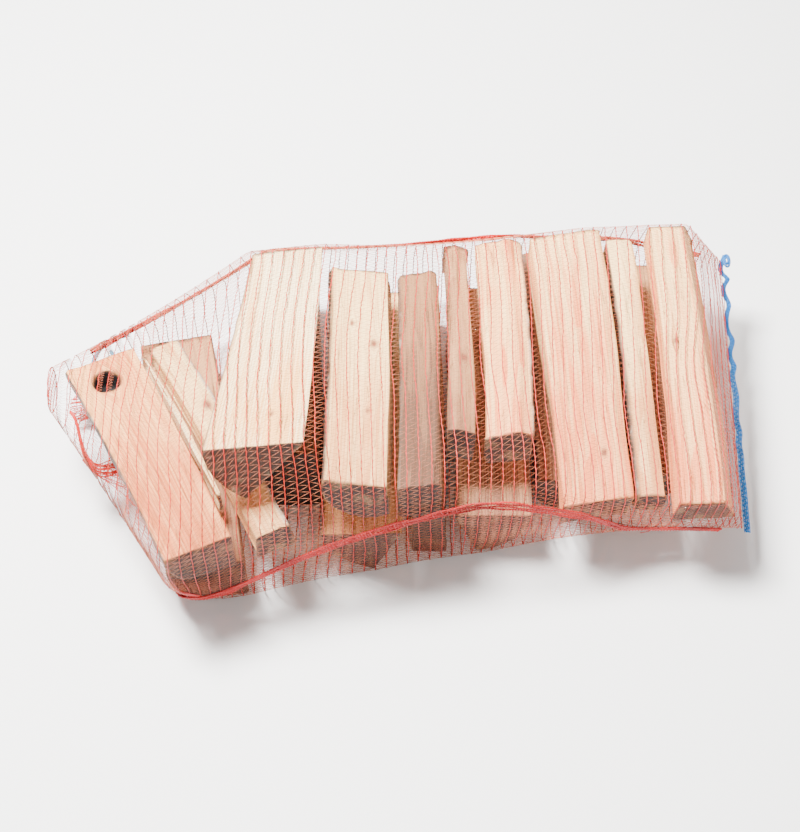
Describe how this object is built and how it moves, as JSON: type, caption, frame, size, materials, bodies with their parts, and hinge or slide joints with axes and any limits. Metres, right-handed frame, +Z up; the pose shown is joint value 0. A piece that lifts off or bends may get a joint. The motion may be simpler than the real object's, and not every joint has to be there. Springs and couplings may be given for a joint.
{
  "type": "firewood bundle",
  "caption": "Split birch and alder firewood in a red knitted net bag with a blue sewn end and a teal drawstring, lying on its broad side.",
  "frame": {"origin": "on the floor under the middle of the bag's bounding box", "axes": "+X along the bag towards its blue sewn end, -Y towards the near ends of the logs, +Z up"},
  "size_m": [0.6434, 0.385, 0.1977],
  "materials": {
    "split_wood": "rough",
    "red_net": "satin",
    "blue_thread": "matte",
    "teal_tape": "satin"
  },
  "bodies": {
    "root": {"lower_log_left": "split_wood", "lower_log_deep": "split_wood", "lower_log_wedge": "split_wood", "lower_log_slab": "split_wood", "lower_log_corner": "split_wood", "lower_log_half": "split_wood", "lower_log_end": "split_wood", "grey_log": "split_wood", "tan_log": "split_wood", "orange_log": "split_wood", "pale_log": "split_wood", "knot_hole_log": "split_wood", "thin_log": "split_wood", "bright_log": "split_wood", "half_log": "split_wood", "wide_log": "split_wood", "narrow_log": "split_wood", "right_log": "split_wood", "net_bag": "red_net", "selvedge_front": "red_net", "selvedge_back": "red_net", "blue_seam": "blue_thread", "drawstring_turn": "teal_tape", "drawstring_knot": "teal_tape", "drawstring_tail_long": "teal_tape", "drawstring_tail_short": "teal_tape"}
  },
  "joints": []
}
